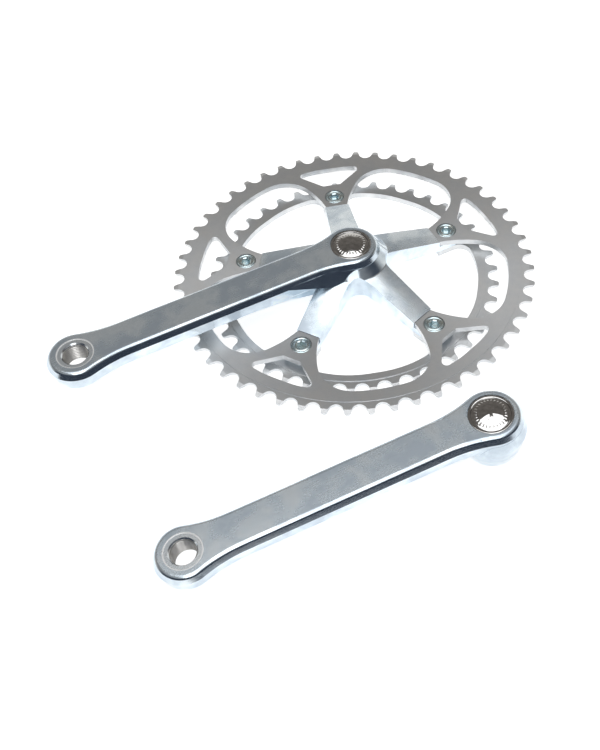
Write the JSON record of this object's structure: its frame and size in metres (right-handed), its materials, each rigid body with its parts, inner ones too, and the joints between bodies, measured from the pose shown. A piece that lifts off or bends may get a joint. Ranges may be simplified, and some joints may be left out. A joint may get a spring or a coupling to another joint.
{
  "type": "bicycle crankset",
  "caption": "Square-taper double crankset: right arm forged with a spider that carries two toothed rings, and a loose left arm beside it.",
  "frame": {"origin": "on the spindle axis at the mouth of the right arm's square spindle socket (back face of the boss)", "axes": "+Z along the spindle axis, outwards from the bicycle; +X away from the right arm, through one chainring bolt; the right arm points along -X"},
  "size_m": [0.294, 0.2664, 0.035],
  "materials": {
    "arm_aluminium": "polished",
    "ring_aluminium": "satin",
    "bolt_steel": "zinc plated",
    "cap_chrome": "mirror"
  },
  "bodies": {
    "drive_side": {"right_crank_arm": "arm_aluminium", "outer_chainring": "ring_aluminium", "inner_chainring": "ring_aluminium", "chainring_bolt_1": "bolt_steel", "chainring_bolt_2": "bolt_steel", "chainring_bolt_3": "bolt_steel", "chainring_bolt_4": "bolt_steel", "chainring_bolt_5": "bolt_steel", "chainring_nut_1": "bolt_steel", "chainring_nut_2": "bolt_steel", "chainring_nut_3": "bolt_steel", "chainring_nut_4": "bolt_steel", "chainring_nut_5": "bolt_steel", "right_fixing_washer": "bolt_steel"},
    "left_side": {"left_crank_arm": "arm_aluminium", "left_fixing_washer": "bolt_steel"},
    "right_cap": {"right_dust_cap": "cap_chrome"},
    "left_cap": {"left_dust_cap": "cap_chrome"},
    "right_bolt": {"right_fixing_bolt": "bolt_steel"},
    "left_bolt": {"left_fixing_bolt": "bolt_steel"}
  },
  "joints": [
    {"name": "left_arm_lift", "type": "slide", "parent": "drive_side", "child": "left_side", "axis": [0, 0, 1], "range_m": [0, 0.12]},
    {"name": "right_cap_pull", "type": "slide", "parent": "drive_side", "child": "right_cap", "axis": [0, 0, 1], "range_m": [0, 0.02]},
    {"name": "left_cap_pull", "type": "slide", "parent": "left_side", "child": "left_cap", "axis": [-0.0974, 0.0063, 0.9952], "range_m": [0, 0.02]},
    {"name": "right_bolt_turn", "type": "hinge", "parent": "drive_side", "child": "right_bolt", "pos_m": [0, 0, 0.018], "axis": [0, 0, 1], "continuous": true},
    {"name": "left_bolt_turn", "type": "hinge", "parent": "left_side", "child": "left_bolt", "pos_m": [0.00928, -0.14077, -0.00406], "axis": [-0.0974, 0.0063, 0.9952], "continuous": true}
  ]
}
